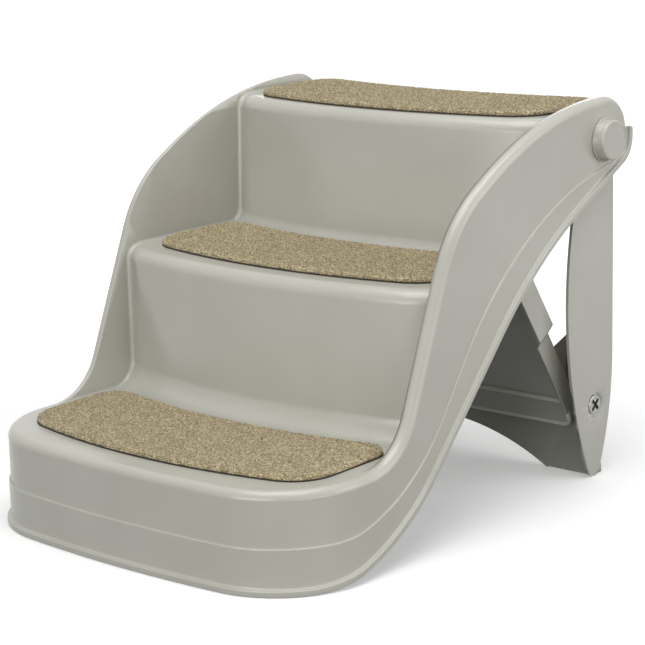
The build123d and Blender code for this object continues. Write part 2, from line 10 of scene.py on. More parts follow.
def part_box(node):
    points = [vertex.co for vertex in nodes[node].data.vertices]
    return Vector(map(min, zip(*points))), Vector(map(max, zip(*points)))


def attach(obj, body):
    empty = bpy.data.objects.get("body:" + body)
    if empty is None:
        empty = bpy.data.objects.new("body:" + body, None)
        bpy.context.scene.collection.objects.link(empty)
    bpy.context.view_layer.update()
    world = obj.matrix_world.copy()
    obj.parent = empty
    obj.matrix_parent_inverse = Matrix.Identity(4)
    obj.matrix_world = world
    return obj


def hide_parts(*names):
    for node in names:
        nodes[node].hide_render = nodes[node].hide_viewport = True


bl_info = {
    "name": "Folding Pet Stairs",
    "version": (1, 0, 0),
    "blender": (4, 5, 0),
    "location": "View3D > Sidebar > Pet Stairs",
    "description": "Dresses the folding pet stairs: moulded plastic, carpet mats, bolts and rods",
    "category": "Add Mesh",
}

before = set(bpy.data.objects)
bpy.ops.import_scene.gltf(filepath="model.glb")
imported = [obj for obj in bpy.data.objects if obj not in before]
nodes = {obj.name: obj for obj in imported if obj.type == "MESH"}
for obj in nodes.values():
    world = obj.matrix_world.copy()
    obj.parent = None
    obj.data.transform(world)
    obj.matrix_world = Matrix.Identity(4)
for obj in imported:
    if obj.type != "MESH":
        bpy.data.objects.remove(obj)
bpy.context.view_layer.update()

MM = 0.001

# Reading of the imported meshes
MERGE_DISTANCE = 0.02 * MM
TOP_TOLERANCE = 0.1 * MM
FLAT_FACING = 0.9

# Brace tray: places down its slope from the pivot rod and deep behind its rim
BRACE_SLOPE = radians(56.4)
BRACE_RIM_TO_PIVOT = 10 * MM
LIP_HALF_WIDTH = 174.6 * MM
LIP_FOOT = 190.4 * MM
LIP_CORNER = 10 * MM
LIP_CORNER_STEPS = 8
LIP_DEPTH = 0.6 * MM
LIP_END_SHARE = 0.3
LIP_START = ((170 * MM, 4 * MM), (176 * MM, 1.4 * MM))
BEAD_HALF_LENGTH = 173.5 * MM
BEAD_PLACE = 169 * MM
BEAD_DEPTH = 10.4 * MM

# Mats: shares of the tuft radius that the pile stands out by, and how the pile is scattered
MATS = ("tread_mat_bottom", "tread_mat_middle", "tread_mat_top")
PILE_SIDE_SHARE = 0.6
PILE_TOP_SHARE = 0.75
BACKING_SIDE_SHARE = 0.4
BACKING_BORDER_SHARE = 1.6
MAT_EDGE_STEPS = 4
PILE_UNEVENNESS = 0.45 * MM
PILE_WAVE_SIZE = 5 * MM
PILE_FACING = 0.1
TUFTS_PER_SQUARE_METRE = 400000.0
TUFT_TURN = (0.6, 0.6, 6.28)
SMALLEST_TUFT, LARGEST_TUFT = (0.75, 0.75, 0.6), (1.25, 1.05, 1.15)

# Fine grain of the materials
FIBRE_SIZE, FIBRE_DEPTH = 0.5 * MM, 0.25 * MM
YARN_PATCH_SIZE = 9 * MM
PLASTIC_WAVE_DEPTH = 0.12 * MM
STREAK_SIZE, STREAK_DEPTH = 0.6 * MM, 0.01 * MM
BLOOM_SIZE, BLOOM_DEPTH = 4 * MM, 0.05 * MM

# Camera, floor and lamps, each lamp with its place and its size
CAMERA_PLACE = Vector((1.295559, -1.488032, 0.635818))
CAMERA_YAW, CAMERA_TILT, CAMERA_ROLL = radians(40.4577), radians(-13.3166), radians(-1.48835)
FLOOR_HALF_SIZE = 6.0
FLOOR_DROP = 0.2 * MM
FLOOR_CLOUD_SIZE = 400 * MM
LIFT_START, LIFT_FULL = 0.45, 1.4
LAMP_AIM = (0, 0, 0.2)
LAMPS = {
    "top": ((0.2, -0.3, 2.3), (1.8, 1.8)),
    "front": ((0.4, -2.3, 0.5), (1.6, 0.9)),
    "low": ((2.3, -0.6, 0.25), (2.0, 0.5)),
    "side": ((2.0, 1.0, 0.9), (1.5, 1.4)),
    "back": ((-1.2, 2.3, 0.6), (1.6, 1.0)),
}


def colour_property(name, description, default):
    """A colour the user can change."""
    return FloatVectorProperty(name=name, description=description, subtype="COLOR", size=4, min=0, max=1,
                               default=default)


def factor_property(name, description, default, most=1.0):
    """A share or strength the user can change."""
    return FloatProperty(name=name, description=description, subtype="FACTOR", min=0, max=most,
                         default=default)


def power_property(name, description, default):
    """A lamp's power in watts, which the user can change."""
    return FloatProperty(name=name, description=description, unit="POWER", min=0, default=default)


def length_property(name, description, default):
    """A length the user can change."""
    return FloatProperty(name=name, description=description, subtype="DISTANCE", unit="LENGTH", min=0,
                         precision=5, default=default)


class PlasticSettings(PropertyGroup):
    """Colours and grain of the moulded plastic."""

    colour: colour_property("Plastic", "Warm light grey of the moulded plastic", (0.495, 0.49, 0.435, 1))
    colour_low: colour_property("Plastic, darker", "Dark side of its faint mottling", (0.47, 0.465, 0.41, 1))
    roughness: factor_property("Roughness", "How dull the plastic is", 0.24)
    grain_size: length_property("Grain size", "Size of the fine moulded texture", 0.7 * MM)
    grain_depth: length_property("Grain depth", "Height of the fine moulded texture", 0.004 * MM)
    wave_size: length_property("Wave size", "Size of the slight unevenness of the faces", 60 * MM)
    bead_radius: length_property("Bead radius", "Radius of the bead across the tray's floor", 2.2 * MM)
    lip_radius: length_property("Lip radius", "Radius of the rolled lip round the tray's foot", 2.4 * MM)
    # Painted highlight: share by which the tray's bead and lip are made paler, for the light their crests
    # catch.
    crest_painted_highlight: factor_property("Crest shade", "How much paler the rubbed crests of beads are", 1.7, 2.0)
    smooth_angle: FloatProperty(name="Smooth angle", description="Edges sharper than this stay sharp",
                                subtype="ANGLE", default=radians(32))


class CarpetSettings(PropertyGroup):
    """Colours and pile of the tread mats."""

    pile: colour_property("Pile", "Main colour of the pile", (0.33, 0.27, 0.155, 1))
    pile_light: colour_property("Pile, light", "Light yarns", (0.60, 0.505, 0.315, 1))
    # Partly painted shade: the darkest tone stands for dark yarns and for the shade in the gaps between
    # loops.
    pile_dark_and_gap_shade: colour_property("Pile, dark", "Dark yarns and gaps", (0.11, 0.084, 0.042, 1))
    # Partly real, partly painted shade: the mat's bare side is made near-black, also standing for the shadow
    # gap under its edge.
    bare_side_and_shadow_gap: colour_property("Backing", "Bare side of the mat under the pile", (0.022, 0.016, 0.01, 1))
    edge_round: length_property("Edge rounding", "Rounding of the mat's upper edge", 2.2 * MM)
    base_step: length_property("Surface step", "Mesh size of the mat's surface", 2.6 * MM)
    backing_height: length_property("Backing height", "Height of the mat's bare side", 1.5 * MM)
    tuft_spacing: length_property("Tuft spacing", "Distance between neighbouring loops", 1.9 * MM)
    tuft_radius: length_property("Tuft radius", "Radius of one loop of yarn", 1.0 * MM)
    yarn_size: length_property("Yarn size", "Size of the specks of light and dark yarn", 1.3 * MM)
    seed: IntProperty(name="Seed", description="Seed of the loops' scatter", default=7)


class MetalSettings(PropertyGroup):
    """Colours of the steel and plated parts."""

    steel: colour_property("Steel", "Plain drawn steel", (0.55, 0.55, 0.54, 1))
    chrome: colour_property("Chrome", "Bright plating of the bolts", (0.36, 0.36, 0.335, 1))
    # Painted shade: near-black colour inside the bolts' cross slots, for the shade that falls in them.
    painted_slot_shade: colour_property("Recess", "Dull metal inside the bolts' cross slots", (0.05, 0.05, 0.045, 1))
    recess_reach: length_property("Recess reach", "Reach of the cross slots from the bolt's axis", 7.6 * MM)
    recess_depth: length_property("Recess depth", "How deep the cross slots are", 1.6 * MM)
    edge_width: length_property("Edge width", "Width of the soft edges of small metal parts", 0.35 * MM)
    rubber: colour_property("Rubber", "Grey rubber of feet and pads", (0.09, 0.088, 0.08, 1))


class StageSettings(PropertyGroup):
    """Floor, lights and camera."""

    floor: colour_property("Floor", "Colour of the floor as the camera sees it", (0.8, 0.8, 0.8, 1))
    bounce: colour_property("Bounce", "Colour of the floor as the object sees it", (0.1, 0.1, 0.095, 1))
    lift: factor_property("Lift", "White added to the floor near the object", 0.32)
    far_lift: factor_property("Far lift", "White added to the floor far away", 0.9)
    sky: factor_property("Sky", "Strength of the even surrounding light", 0.2)
    top: power_property("Top", "Power of the overhead lamp", 38.5)
    front: power_property("Front", "Power of the lamp in front", 20.5)
    low: power_property("Low", "Power of the low lamp on the right", 9)
    side: power_property("Side", "Power of the high lamp on the right", 17)
    back: power_property("Back", "Power of the lamp behind", 9)
    lens: FloatProperty(name="Lens", description="Focal length on a 36 mm wide sensor", unit="CAMERA", min=1,
                        default=119.134)


def new_material(name):
    """An empty node material with its shader, and the two of them."""
    material = bpy.data.materials.new(name)
    material.use_nodes = True
    tree = material.node_tree
    tree.nodes.clear()
    output = tree.nodes.new("ShaderNodeOutputMaterial")
    shader = tree.nodes.new("ShaderNodeBsdfPrincipled")
    tree.links.new(shader.outputs[0], output.inputs["Surface"])
    return material, tree, shader


def fill(tree, node, **values):
    """Sets or links a node's inputs, each given by its name or by the letter i and its number."""
    for key, value in values.items():
        numbered = key[0] == "i" and key[1:].isdigit()
        socket = node.inputs[int(key[1:]) if numbered else key.replace("_", " ")]
        if isinstance(value, bpy.types.NodeSocket):
            tree.links.new(value, socket)
        else:
            socket.default_value = value


def put(tree, kind, settings=None, **values):
    """A new node with its settings and the values or links of its inputs."""
    node = tree.nodes.new(kind)
    for key, value in (settings or {}).items():
        setattr(node, key, value)
    fill(tree, node, **values)
    return node


def object_space(tree):
    """The piece's own coordinates in metres."""
    return put(tree, "ShaderNodeTexCoord").outputs["Object"]


def noise(tree, where, size, detail=3.0, roughness=0.5):
    """Smooth noise with blobs of about the given size in metres."""
    return put(tree, "ShaderNodeTexNoise", Vector=where, Scale=1 / size, Detail=detail,
               Roughness=roughness).outputs["Fac"]


def ramp(tree, value, stops):
    """A colour ramp through (position, colour) stops."""
    node = put(tree, "ShaderNodeValToRGB", Fac=value)
    elements = node.color_ramp.elements
    while len(elements) < len(stops):
        elements.new(0.5)
    for element, (position, colour) in zip(elements, stops):
        element.position = position
        element.color = colour
    return node.outputs["Color"]


def spread(tree, value, low, high, new_low=0.0, new_high=1.0):
    """A value moved from one range to another, clamped."""
    return put(tree, "ShaderNodeMapRange", Value=value, From_Min=low, From_Max=high, To_Min=new_low,
               To_Max=new_high).outputs["Result"]


def weighted_sum(tree, value, weight, base):
    """A value times its weight, added to another value."""
    return put(tree, "ShaderNodeMath", {"operation": "MULTIPLY_ADD"}, i0=value, i1=weight, i2=base).outputs[0]


def bump(tree, height, depth, below=None):
    """A bump of the given depth in metres, on top of another one."""
    node = put(tree, "ShaderNodeBump", Strength=1.0, Distance=depth, Height=height)
    if below is not None:
        fill(tree, node, Normal=below)
    return node.outputs["Normal"]


def shaded(colour, share):
    """A colour made darker or paler."""
    return [min(1, channel * share) for channel in colour[:3]] + [1]


def plastic_material(settings, name, shade=1.0):
    """Moulded plastic: a fine even grain, faint mottling and a satin surface."""
    material, tree, shader = new_material(name)
    where = object_space(tree)
    cloud = noise(tree, where, settings.wave_size, detail=2.0)
    speck = noise(tree, where, settings.grain_size * 2, detail=2.0)
    tone = spread(tree, weighted_sum(tree, speck, weight=0.12, base=cloud), low=0.35, high=0.75)
    low, high = shaded(settings.colour_low, shade), shaded(settings.colour, shade)
    colour = ramp(tree, tone, [(0.0, low), (1.0, high)])
    smoothest, dullest = settings.roughness - 0.02, settings.roughness + 0.03
    dull = spread(tree, speck, low=0.3, high=0.7, new_low=smoothest, new_high=dullest)
    wave = bump(tree, cloud, PLASTIC_WAVE_DEPTH)
    grain = bump(tree, noise(tree, where, settings.grain_size, detail=2.0), settings.grain_depth, wave)
    fill(tree, shader, Base_Color=colour, Roughness=dull, Specular_IOR_Level=0.5, Normal=grain)
    return material


def carpet_material(settings, name):
    """Looped pile: yarns of three tones scattered at random, the darkest partly yarn colour and partly
    painted shade of the gaps between the loops.
    """
    material, tree, shader = new_material(name)
    where = object_space(tree)
    cells = put(tree, "ShaderNodeTexVoronoi", Vector=where, Scale=1 / settings.yarn_size)
    split = put(tree, "ShaderNodeSeparateColor", Color=cells.outputs["Color"])
    fibres = noise(tree, where, FIBRE_SIZE, detail=3.0, roughness=0.65)
    patches = noise(tree, where, YARN_PATCH_SIZE, detail=3.0)
    yarns = weighted_sum(tree, fibres, weight=0.8, base=split.outputs[0])
    yarns = weighted_sum(tree, patches, weight=0.15, base=yarns)
    dark, middle, light = settings.pile_dark_and_gap_shade, settings.pile, settings.pile_light
    stops = [(0.0, dark), (0.35, middle), (0.65, middle), (1.0, light)]
    colour = ramp(tree, spread(tree, yarns, low=0.4, high=1.35), stops)
    fill(tree, shader, Base_Color=colour, Roughness=0.95, Specular_IOR_Level=0.12, Sheen_Weight=0.25,
         Sheen_Roughness=0.6, Normal=bump(tree, fibres, FIBRE_DEPTH))
    return material


def metal_material(name, colour, roughness, streak):
    """Drawn or plated metal with fine streaks round or along the part."""
    material, tree, shader = new_material(name)
    where = object_space(tree)
    stretched = put(tree, "ShaderNodeMapping", Vector=where, Scale=streak).outputs["Vector"]
    lines = noise(tree, stretched, STREAK_SIZE, detail=4.0, roughness=0.7)
    tone = ramp(tree, lines, [(0.25, shaded(colour, 0.82)), (0.75, colour)])
    dull = spread(tree, lines, low=0.2, high=0.8, new_low=roughness * 0.7, new_high=roughness * 1.3)
    fill(tree, shader, Base_Color=tone, Roughness=dull, Metallic=1.0, Normal=bump(tree, lines, STREAK_DEPTH))
    return material


def rubber_material(name, colour):
    """Dull rubber with a faint bloom."""
    material, tree, shader = new_material(name)
    bloom = noise(tree, object_space(tree), BLOOM_SIZE, detail=4.0, roughness=0.6)
    tone = ramp(tree, bloom, [(0.3, colour), (0.8, shaded(colour, 1.5))])
    dull = spread(tree, bloom, low=0.3, high=0.7, new_low=0.7, new_high=0.85)
    fill(tree, shader, Base_Color=tone, Roughness=dull, Normal=bump(tree, bloom, BLOOM_DEPTH))
    return material


def link_new(name, data):
    """An object for a mesh, curve, lamp or camera, in the scene, at the origin."""
    piece = bpy.data.objects.new(name, data)
    bpy.context.scene.collection.objects.link(piece)
    return piece


def baked(piece, name):
    """The piece's evaluated mesh as a plain mesh of its own."""
    graph = bpy.context.evaluated_depsgraph_get()
    graph.update()
    mesh = bpy.data.meshes.new_from_object(piece.evaluated_get(graph))
    mesh.name = name
    return mesh


def apply_modifiers(piece):
    """Gives the piece the mesh that its modifiers make."""
    result = baked(piece, piece.name)
    piece.modifiers.clear()
    piece.data = result


def smooth_copy(node, angle, edge_width):
    """A node's mesh with its loose triangles joined and its shading smooth but for real edges."""
    name = f"{node}_finish"
    mesh = nodes[node].data.copy()
    mesh.name = name
    work = bmesh.new()
    work.from_mesh(mesh)
    bmesh.ops.remove_doubles(work, verts=work.verts, dist=MERGE_DISTANCE)
    bmesh.ops.dissolve_degenerate(work, edges=work.edges, dist=MERGE_DISTANCE)
    work.to_mesh(mesh)
    work.free()
    mesh.materials.clear()
    mesh.shade_smooth()
    mesh.set_sharp_from_angle(angle=angle)
    piece = link_new(name, mesh)
    if edge_width:
        bevel = piece.modifiers.new("soft_edges", "BEVEL")
        bevel.width = edge_width
        bevel.segments = 2
        bevel.angle_limit = angle
    weighted = piece.modifiers.new("even_normals", "WEIGHTED_NORMAL")
    weighted.keep_sharp = True
    weighted.weight = 60
    apply_modifiers(piece)
    return piece


def dress(piece, material, body, slot, *replaced):
    """Finishes a piece: its material, its body and the nodes it stands for. The slot is not used."""
    piece.data.materials.clear()
    piece.data.materials.append(material)
    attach(piece, body)
    if replaced:
        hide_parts(*replaced)
    return piece


def smooth_piece(node, material, body, slot, angle, edge_width=0.0):
    """A smooth copy of a node that takes its place."""
    return dress(smooth_copy(node, angle, edge_width), material, body, slot, node)


def rod_middle(node):
    """The middle of a rod that lies across the stairs."""
    low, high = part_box(node)
    return Vector((0, (low[1] + high[1]) / 2, (low[2] + high[2]) / 2))


def on_tray(x, down, deep):
    """A point of the brace tray: down its slope from its pivot rod, deep behind its rim."""
    along = Vector((0, cos(BRACE_SLOPE), -sin(BRACE_SLOPE)))
    behind = Vector((0, sin(BRACE_SLOPE), cos(BRACE_SLOPE)))
    place = rod_middle("brace_pivot_rod") + along * down + behind * (deep - BRACE_RIM_TO_PIVOT)
    return place + Vector((x, 0, 0))


def round_bead(name, points, radius, end_share=1.0):
    """A moulded bead along a line of points, thinner at its ends by the given share."""
    curve = bpy.data.curves.new(name, "CURVE")
    curve.dimensions = "3D"
    curve.bevel_depth = radius
    curve.bevel_resolution = 4
    curve.use_fill_caps = True
    line = curve.splines.new("POLY")
    line.points.add(len(points) - 1)
    for point, place in zip(line.points, points):
        point.co = (*place, 1)
    line.points[0].radius = line.points[-1].radius = end_share
    drawn = link_new(f"{name}_line", curve)
    mesh = baked(drawn, name)
    bpy.data.objects.remove(drawn)
    mesh.shade_smooth()
    return link_new(name, mesh)


def tray_lip():
    """The line of the lip: down one side, round the foot's corners and up the other side."""
    right = [on_tray(LIP_HALF_WIDTH, down, deep) for down, deep in LIP_START]
    for step in range(LIP_CORNER_STEPS + 1):
        turn = pi / 2 * step / LIP_CORNER_STEPS
        sideways = LIP_HALF_WIDTH - LIP_CORNER * (1 - cos(turn))
        right.append(on_tray(sideways, LIP_FOOT - LIP_CORNER * (1 - sin(turn)), LIP_DEPTH))
    left = [Vector((-point.x, point.y, point.z)) for point in reversed(right)]
    return right + left


def darken_painted_slot_shade(piece, material, settings):
    """Gives the faces inside the bolts' cross slots a near-black metal, painted shade for the shade that
    falls in the slots.
    """
    axis = rod_middle("leg_cross_rod")
    head_x = max(abs(vertex.co.x) for vertex in piece.data.vertices)
    piece.data.materials.append(material)
    for face in piece.data.polygons:
        depth = head_x - abs(face.center.x)
        near_axis = hypot(face.center.y - axis.y, face.center.z - axis.z) < settings.recess_reach
        if near_axis and settings.edge_width < depth < settings.recess_depth:
            face.material_index = 1


def top_outline(node):
    """The outline of a flat node's upper face, as points in order."""
    work = bmesh.new()
    work.from_mesh(nodes[node].data)
    bmesh.ops.remove_doubles(work, verts=work.verts, dist=MERGE_DISTANCE)
    top = max(vertex.co.z for vertex in work.verts)
    flat = [face for face in work.faces if face.normal.z > FLAT_FACING]
    upper = {face for face in flat if face.calc_center_median().z > top - TOP_TOLERANCE}
    edges = [edge for edge in work.edges if len([face for face in edge.link_faces if face in upper]) == 1]
    after = {}
    for edge in edges:
        for first, second in (edge.verts, reversed(edge.verts)):
            after.setdefault(first.index, []).append(second.index)
    places = {vertex.index: vertex.co.copy() for vertex in work.verts}
    work.free()
    start = next(iter(after))
    loop, previous, current = [start], None, start
    while True:
        following = [other for other in after[current] if other != previous]
        previous, current = current, following[0]
        if current == start:
            break
        loop.append(current)
    return [places[index] for index in loop]


def even_loop(points, step):
    """A closed outline resampled at even steps."""
    ends = points[1:] + points[:1]
    lengths = [(end - start).length for start, end in zip(points, ends)]
    total = sum(lengths)
    count = round(total / step)
    result, index, passed = [], 0, 0.0
    for number in range(count):
        goal = total * number / count
        while passed + lengths[index] < goal:
            passed += lengths[index]
            index += 1
        share = (goal - passed) / lengths[index]
        result.append(points[index].lerp(ends[index], share))
    return result


def inward(points, distance):
    """An outline moved inwards."""
    centre = sum(points, Vector()) / len(points)
    result = []
    for index, point in enumerate(points):
        along = points[(index + 1) % len(points)] - points[index - 1]
        normal = Vector((-along.y, along.x, 0)).normalized()
        if normal.dot(centre - point) < 0:
            normal.negate()
        result.append(point + normal * distance)
    return result


def solid_of_rings(name, outline, rings):
    """A closed solid through insets of an outline, each at its height."""
    work = bmesh.new()
    loops = []
    for inset, height in rings:
        loops.append([work.verts.new((point.x, point.y, height)) for point in inward(outline, inset)])
    for lower, upper in zip(loops, loops[1:]):
        for index in range(len(lower)):
            following = (index + 1) % len(lower)
            work.faces.new((lower[index], lower[following], upper[following], upper[index]))
    work.faces.new(loops[-1])
    work.faces.new(list(reversed(loops[0])))
    bmesh.ops.recalc_face_normals(work, faces=work.faces)
    mesh = bpy.data.meshes.new(name)
    work.to_mesh(mesh)
    work.free()
    return link_new(name, mesh)


def mat_backing(node, settings):
    """The bare lower part of a mat, a little proud of the pile's side."""
    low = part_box(node)[0]
    outline = even_loop(top_outline(node), settings.base_step)
    inset = settings.tuft_radius * BACKING_SIDE_SHARE
    border = settings.tuft_radius * BACKING_BORDER_SHARE
    height = low[2] + settings.backing_height
    rings = [(inset, low[2]), (inset, height), (border, height)]
    return solid_of_rings(f"{node}_backing", outline, rings)


def mat_body(node, settings):
    """The mat without its pile: the tread's outline with a soft upper edge."""
    low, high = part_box(node)
    side = settings.tuft_radius * PILE_SIDE_SHARE
    outline = even_loop(top_outline(node), settings.base_step)
    radius = settings.edge_round
    top = high[2] - settings.tuft_radius * PILE_TOP_SHARE
    rings = [(side, low[2]), (side, top - radius)]
    for step in range(1, MAT_EDGE_STEPS + 1):
        turn = pi / 2 * step / MAT_EDGE_STEPS
        rings.append((side + radius * (1 - cos(turn)), top - radius + radius * sin(turn)))
    piece = solid_of_rings(f"{node}_carpet", outline, rings)
    remesh = piece.modifiers.new("even", "REMESH")
    remesh.mode = "VOXEL"
    remesh.voxel_size = settings.base_step
    apply_modifiers(piece)
    return piece


def pile_tree(settings, material):
    """Geometry nodes: loops of yarn scattered over the mat's top and rounded edge."""
    tree = bpy.data.node_groups.new("carpet_pile", "GeometryNodeTree")
    sockets = tree.interface
    sockets.new_socket("Mat", in_out="INPUT", socket_type="NodeSocketGeometry")
    for name, kind, value in (("Spacing", "NodeSocketFloat", settings.tuft_spacing),
                              ("Tuft Radius", "NodeSocketFloat", settings.tuft_radius),
                              ("Unevenness", "NodeSocketFloat", PILE_UNEVENNESS),
                              ("Seed", "NodeSocketInt", settings.seed)):
        socket = sockets.new_socket(name, in_out="INPUT", socket_type=kind)
        socket.default_value = value
    sockets.new_socket("Carpet", in_out="OUTPUT", socket_type="NodeSocketGeometry")
    start = tree.nodes.new("NodeGroupInput")
    end = tree.nodes.new("NodeGroupOutput")
    position = put(tree, "GeometryNodeInputPosition").outputs[0]
    normal = put(tree, "GeometryNodeInputNormal").outputs[0]
    rough = put(tree, "ShaderNodeTexNoise", Vector=position, Scale=1 / PILE_WAVE_SIZE, Detail=2.0).outputs[0]
    centred = put(tree, "ShaderNodeMath", {"operation": "SUBTRACT"}, i0=rough, i1=0.5).outputs[0]
    height = put(tree, "ShaderNodeMath", {"operation": "MULTIPLY"}, i0=centred,
                 i1=start.outputs["Unevenness"]).outputs[0]
    push = put(tree, "ShaderNodeVectorMath", {"operation": "SCALE"}, i0=normal, Scale=height).outputs[0]
    uneven = put(tree, "GeometryNodeSetPosition", Geometry=start.outputs["Mat"], Offset=push).outputs[0]
    facing = put(tree, "ShaderNodeSeparateXYZ", Vector=normal).outputs["Z"]
    upward = put(tree, "FunctionNodeCompare", {"data_type": "FLOAT", "operation": "GREATER_THAN"},
                 i0=facing, i1=PILE_FACING).outputs[0]
    scatter = put(tree, "GeometryNodeDistributePointsOnFaces", {"distribute_method": "POISSON"},
                  Mesh=uneven, Selection=upward, Distance_Min=start.outputs["Spacing"],
                  Density_Max=TUFTS_PER_SQUARE_METRE, Seed=start.outputs["Seed"])
    loop = put(tree, "GeometryNodeMeshIcoSphere", Radius=start.outputs["Tuft Radius"], Subdivisions=1)
    turn = put(tree, "FunctionNodeRandomValue", {"data_type": "FLOAT_VECTOR"}, i0=(0, 0, 0),
               i1=TUFT_TURN, Seed=start.outputs["Seed"]).outputs[0]
    size = put(tree, "FunctionNodeRandomValue", {"data_type": "FLOAT_VECTOR"}, i0=SMALLEST_TUFT,
               i1=LARGEST_TUFT, Seed=start.outputs["Seed"]).outputs[0]
    lay = put(tree, "FunctionNodeRotateRotation", {"rotation_space": "LOCAL"},
              Rotation=scatter.outputs["Rotation"], i1=turn).outputs[0]
    tufts = put(tree, "GeometryNodeInstanceOnPoints", Points=scatter.outputs["Points"],
                Instance=loop.outputs[0], Rotation=lay, Scale=size).outputs[0]
    smooth = put(tree, "GeometryNodeSetShadeSmooth", Geometry=tufts).outputs[0]
    join = tree.nodes.new("GeometryNodeJoinGeometry")
    tree.links.new(uneven, join.inputs[0])
    tree.links.new(smooth, join.inputs[0])
    real = put(tree, "GeometryNodeRealizeInstances", Geometry=join.outputs[0]).outputs[0]
    done = put(tree, "GeometryNodeSetMaterial", Geometry=real, Material=material).outputs[0]
    tree.links.new(done, end.inputs[0])
    return tree


class STAIRS_OT_shell(Operator):
    """Finish the one-piece moulded flight"""

    bl_idname = "stairs.shell"
    bl_label = "Moulded flight"

    def execute(self, context):
        settings = context.scene.stairs_plastic
        plastic = plastic_material(settings, "moulded_plastic")
        smooth_piece("stair_shell", plastic, "stairs", "shell_plastic", settings.smooth_angle)
        for side in ("right", "left"):
            smooth_piece(f"hinge_pin_{side}", plastic, "stairs", "shell_plastic", settings.smooth_angle)
        return {"FINISHED"}


class STAIRS_OT_mats(Operator):
    """Lay the three carpet mats with their looped pile"""

    bl_idname = "stairs.mats"
    bl_label = "Carpet mats"

    def execute(self, context):
        settings = context.scene.stairs_carpet
        carpet = carpet_material(settings, "carpet")
        # Partly painted shade: the near-black bare band under the pile also stands for the shadow gap under
        # the mat's edge.
        bare_side_and_shadow_gap = rubber_material("mat_backing", settings.bare_side_and_shadow_gap)
        tree = pile_tree(settings, carpet)
        seed = next(item.identifier for item in tree.interface.items_tree if item.name == "Seed")
        for number, node in enumerate(MATS):
            piece = mat_body(node, settings)
            modifier = piece.modifiers.new("pile", "NODES")
            modifier.node_group = tree
            modifier[seed] = settings.seed + number
            apply_modifiers(piece)
            dress(piece, carpet, "stairs", "mat_carpet", node)
            dress(mat_backing(node, settings), bare_side_and_shadow_gap, "stairs", "mat_carpet")
        return {"FINISHED"}


class STAIRS_OT_leg(Operator):
    """Finish the rear leg"""

    bl_idname = "stairs.leg"
    bl_label = "Rear leg"

    def execute(self, context):
        settings = context.scene.stairs_plastic
        plastic = plastic_material(settings, "leg_plastic")
        smooth_piece("rear_leg", plastic, "leg", "shell_plastic", settings.smooth_angle)
        return {"FINISHED"}


class STAIRS_OT_brace(Operator):
    """Finish the swinging brace tray"""

    bl_idname = "stairs.brace"
    bl_label = "Brace tray"

    def execute(self, context):
        settings = context.scene.stairs_plastic
        plastic = plastic_material(settings, "brace_plastic")
        smooth_piece("brace_tray", plastic, "brace", "shell_plastic", settings.smooth_angle)
        # Painted highlight: a paler copy of the plastic on the bead and lip, for the light their crests
        # catch.
        highlight_plastic = plastic_material(settings, "rubbed_plastic", settings.crest_painted_highlight)
        floor_line = [on_tray(side * BEAD_HALF_LENGTH, BEAD_PLACE, BEAD_DEPTH) for side in (-1, 1)]
        bead = round_bead("tray_floor_bead", floor_line, settings.bead_radius)
        lip = round_bead("tray_foot_lip", tray_lip(), settings.lip_radius, LIP_END_SHARE)
        for piece in (bead, lip):
            dress(piece, highlight_plastic, "brace", "shell_plastic")
        return {"FINISHED"}


class STAIRS_OT_metal(Operator):
    """Finish the rods, rings, caps, washers and bolts"""

    bl_idname = "stairs.metal"
    bl_label = "Rods and bolts"

    def execute(self, context):
        settings = context.scene.stairs_metal
        angle = context.scene.stairs_plastic.smooth_angle
        drawn = metal_material("drawn_steel", settings.steel, roughness=0.32, streak=(0.04, 1, 1))
        plated = metal_material("bright_plating", settings.chrome, roughness=0.16, streak=(1, 1, 1))
        # Painted shade: near-black metal for the faces inside the cross slots.
        slot_shade_metal = metal_material("bolt_recess", settings.painted_slot_shade, roughness=0.5, streak=(1, 1, 1))
        edge = settings.edge_width
        for node in ("hinge_rings", "brace_pivot_rod", "pivot_rod_caps"):
            smooth_piece(node, drawn, "stairs", "steel", angle, edge)
        for node in ("leg_cross_rod", "bolt_washers"):
            smooth_piece(node, drawn, "leg", "steel", angle, edge)
        bolts = smooth_piece("rod_bolts", plated, "leg", "bolt_chrome", angle, edge)
        darken_painted_slot_shade(bolts, slot_shade_metal, settings)
        return {"FINISHED"}


class STAIRS_OT_rubber(Operator):
    """Finish the rubber feet and pads"""

    bl_idname = "stairs.rubber"
    bl_label = "Rubber feet"

    def execute(self, context):
        rubber = rubber_material("grey_rubber", context.scene.stairs_metal.rubber)
        angle = context.scene.stairs_plastic.smooth_angle
        smooth_piece("base_feet", rubber, "stairs", "rubber_feet", angle)
        smooth_piece("leg_foot_pads", rubber, "leg", "rubber_feet", angle)
        return {"FINISHED"}


def add_area_light(name, place, target, size, power):
    """A large soft lamp aimed at a point."""
    data = bpy.data.lights.new(name, "AREA")
    data.shape = "RECTANGLE"
    data.size, data.size_y = size
    data.energy = power
    lamp = link_new(name, data)
    lamp.location = place
    lamp.rotation_euler = (Vector(target) - Vector(place)).to_track_quat("-Z", "Y").to_euler()


